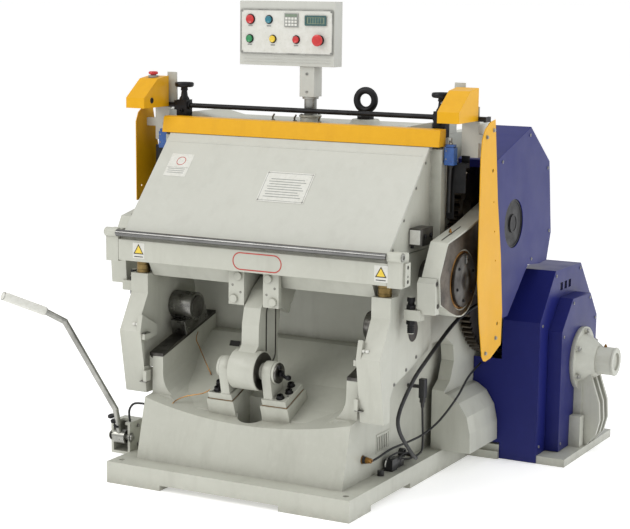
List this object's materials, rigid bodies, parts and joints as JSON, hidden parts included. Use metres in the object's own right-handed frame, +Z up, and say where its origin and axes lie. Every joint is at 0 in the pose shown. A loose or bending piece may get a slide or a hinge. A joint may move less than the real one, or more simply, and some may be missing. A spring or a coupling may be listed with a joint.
{
  "type": "platen die cutting machine",
  "caption": "Floor-standing platen die cutting and creasing press with a tilting platen, connecting rods, crank gears, flywheel drive, side guards and a swivelling control box.",
  "frame": {"origin": "on the floor, at the centre of the four anchor holes in the base casting", "axes": "+X to the operator's right along the platen, towards the clutch side; -Y towards the operator; +Z up"},
  "size_m": [1.7233, 1.7892, 1.697],
  "materials": {
    "grey_paint": "satin enamel over cast iron",
    "blue_paint": "gloss enamel on sheet steel",
    "amber_paint": "gloss enamel on sheet steel",
    "machined_steel": "turned and ground steel",
    "black_steel": "blackened steel",
    "cast_iron_bare": "bare casting",
    "chrome_bar": "hard chromed rod",
    "brass_bumper": "cast brass",
    "black_rubber": "cable sheath and belt rubber",
    "black_plastic": "moulded plastic",
    "red_plastic": "moulded plastic",
    "teal_plastic": "moulded plastic",
    "green_plastic": "moulded plastic",
    "yellow_plastic": "moulded plastic"
  },
  "bodies": {
    "machine": {"base_casting": "grey_paint", "rail_strips": "machined_steel", "side_frame_left": "grey_paint", "side_frame_right": "grey_paint", "die_bed": "grey_paint", "top_beam": "grey_paint", "lifting_eye": "black_steel", "control_pole": "machined_steel", "cross_rod": "black_steel", "rod_clamps": "black_steel", "hood_left": "amber_paint", "hood_right": "amber_paint", "mount_plates": "grey_paint", "gear_shields": "black_steel", "side_guard_left": "amber_paint", "side_guard_right": "amber_paint", "gear_cover_left": "blue_paint", "gear_cover_right": "blue_paint", "belt_cover": "blue_paint", "clutch_cover": "blue_paint", "outer_bearing": "grey_paint", "motor": "blue_paint", "v_belts": "black_rubber", "swing_brackets": "grey_paint", "lever_box": "grey_paint", "main_cable": "black_rubber", "thin_cables": "black_rubber", "cable_fittings": "black_plastic"},
    "platen": {"platen_casting": "grey_paint", "front_cover": "grey_paint", "beam": "grey_paint", "end_blocks": "grey_paint", "chrome_bar": "chrome_bar", "leg_left": "grey_paint", "leg_right": "grey_paint", "bumpers": "brass_bumper", "trunnions": "machined_steel", "cheek_plates": "grey_paint", "guide_blocks": "machined_steel"},
    "carriage": {"slippers": "machined_steel"},
    "con_rod_l": {"con_rod_left": "grey_paint"},
    "con_rod_r": {"con_rod_right": "grey_paint"},
    "crank": {"crank_shaft": "machined_steel"},
    "idler": {"idler_shaft": "machined_steel"},
    "clutch": {"clutch_shaft": "machined_steel"},
    "flywheel_body": {"flywheel": "cast_iron_bare"},
    "pulley_body": {"motor_pulley": "cast_iron_bare"},
    "bar": {"safety_bar": "amber_paint"},
    "arm": {"swing_arm": "grey_paint"},
    "wheel_l": {"handwheel_left": "black_steel"},
    "wheel_r": {"handwheel_right": "black_steel"},
    "panel": {"control_box": "grey_paint"},
    "lever": {"hand_lever": "machined_steel"},
    "estop_hood": {"hood_e_stop": "red_plastic"},
    "b_button_start": {"button_start": "red_plastic"},
    "b_button_jog": {"button_jog": "teal_plastic"},
    "b_button_green": {"button_green": "green_plastic"},
    "b_button_yellow": {"button_yellow": "yellow_plastic"},
    "b_button_stop": {"button_stop": "red_plastic"},
    "b_panel_e_stop": {"panel_e_stop": "red_plastic"}
  },
  "joints": [
    {"name": "crank_turn", "type": "hinge", "parent": "machine", "child": "crank", "pos_m": [0, 0.375, 0.918], "axis": [1, 0, 0], "range_deg": [0, 173.1]},
    {"name": "carriage_slide", "type": "slide", "parent": "machine", "child": "carriage", "axis": [0, -0.9632, -0.2689], "range_m": [0, 0.15]},
    {"name": "platen_tilt", "type": "hinge", "parent": "carriage", "child": "platen", "pos_m": [0, -0.1, 0.59], "axis": [1, 0, 0], "range_deg": [0, 45]},
    {"name": "con_rod_l_swing", "type": "hinge", "parent": "platen", "child": "con_rod_l", "pos_m": [0, -0.01, 0.765], "axis": [1, 0, 0], "range_deg": [-51.9, 0]},
    {"name": "con_rod_r_swing", "type": "hinge", "parent": "platen", "child": "con_rod_r", "pos_m": [0, -0.01, 0.765], "axis": [1, 0, 0], "range_deg": [-51.9, 0]},
    {"name": "swing_arm_swing", "type": "hinge", "parent": "machine", "child": "arm", "pos_m": [0, -0.322, 0.434], "axis": [1, 0, 0], "range_deg": [0, 45.7]},
    {"name": "idler_turn", "type": "hinge", "parent": "machine", "child": "idler", "pos_m": [0, 0.58556, 0.6485], "axis": [1, 0, 0], "range_deg": [-558.8, 0]},
    {"name": "clutch_turn", "type": "hinge", "parent": "machine", "child": "clutch", "pos_m": [0, 0.81596, 0.35644], "axis": [1, 0, 0], "range_deg": [0, 1117.5]},
    {"name": "flywheel_turn", "type": "hinge", "parent": "machine", "child": "flywheel_body", "pos_m": [0, 0.81596, 0.35644], "axis": [1, 0, 0], "continuous": true},
    {"name": "motor_turn", "type": "hinge", "parent": "machine", "child": "pulley_body", "pos_m": [0, 0.64, 0.16], "axis": [1, 0, 0], "continuous": true},
    {"name": "safety_bar_tilt", "type": "hinge", "parent": "platen", "child": "bar", "pos_m": [0, 0.036, 1.22], "axis": [1, 0, 0], "range_deg": [-6, 0], "stiffness_Nm_per_rad": 60, "springref_deg": 2.86},
    {"name": "handwheel_l_turn", "type": "hinge", "parent": "machine", "child": "wheel_l", "pos_m": [-0.524, 0.086, 1.384], "axis": [0, 0, 1], "continuous": true},
    {"name": "handwheel_r_turn", "type": "hinge", "parent": "machine", "child": "wheel_r", "pos_m": [0.524, 0.086, 1.384], "axis": [0, 0, 1], "continuous": true},
    {"name": "panel_swivel", "type": "hinge", "parent": "machine", "child": "panel", "pos_m": [-0.013, 0.13, 1.4], "axis": [0, 0, 1], "range_deg": [-60, 60]},
    {"name": "hand_lever_swing", "type": "hinge", "parent": "machine", "child": "lever", "pos_m": [-0.525, -0.345, 0.13], "axis": [1, 0, 0], "range_deg": [-12, 14]},
    {"name": "hood_e_stop_press", "type": "slide", "parent": "machine", "child": "estop_hood", "axis": [0, 0, -1], "range_m": [0, 0.006], "stiffness_N_per_m": 2500, "springref_m": -0.002},
    {"name": "button_start_press", "type": "slide", "parent": "panel", "child": "b_button_start", "axis": [0, 1, 0], "range_m": [0, 0.003], "stiffness_N_per_m": 1200, "springref_m": -0.001},
    {"name": "button_jog_press", "type": "slide", "parent": "panel", "child": "b_button_jog", "axis": [0, 1, 0], "range_m": [0, 0.003], "stiffness_N_per_m": 1200, "springref_m": -0.001},
    {"name": "button_green_press", "type": "slide", "parent": "panel", "child": "b_button_green", "axis": [0, 1, 0], "range_m": [0, 0.003], "stiffness_N_per_m": 1200, "springref_m": -0.001},
    {"name": "button_yellow_press", "type": "slide", "parent": "panel", "child": "b_button_yellow", "axis": [0, 1, 0], "range_m": [0, 0.003], "stiffness_N_per_m": 1200, "springref_m": -0.001},
    {"name": "button_stop_press", "type": "slide", "parent": "panel", "child": "b_button_stop", "axis": [0, 1, 0], "range_m": [0, 0.003], "stiffness_N_per_m": 1200, "springref_m": -0.001},
    {"name": "panel_e_stop_press", "type": "slide", "parent": "panel", "child": "b_panel_e_stop", "axis": [0, 1, 0], "range_m": [0, 0.006], "stiffness_N_per_m": 1200, "springref_m": -0.001}
  ],
  "couplings": [
    {"joint": "carriage_slide", "follows": "crank_turn", "m_per_rad": 0.049649},
    {"joint": "platen_tilt", "follows": "crank_turn", "ratio": 0.25996},
    {"joint": "con_rod_l_swing", "follows": "crank_turn", "ratio": -0.29982},
    {"joint": "con_rod_r_swing", "follows": "crank_turn", "ratio": -0.29982},
    {"joint": "swing_arm_swing", "follows": "crank_turn", "ratio": 0.26401},
    {"joint": "idler_turn", "follows": "crank_turn", "ratio": -3.2222},
    {"joint": "clutch_turn", "follows": "crank_turn", "ratio": 6.4444},
    {"joint": "motor_turn", "follows": "flywheel_turn", "ratio": 4.4444}
  ]
}
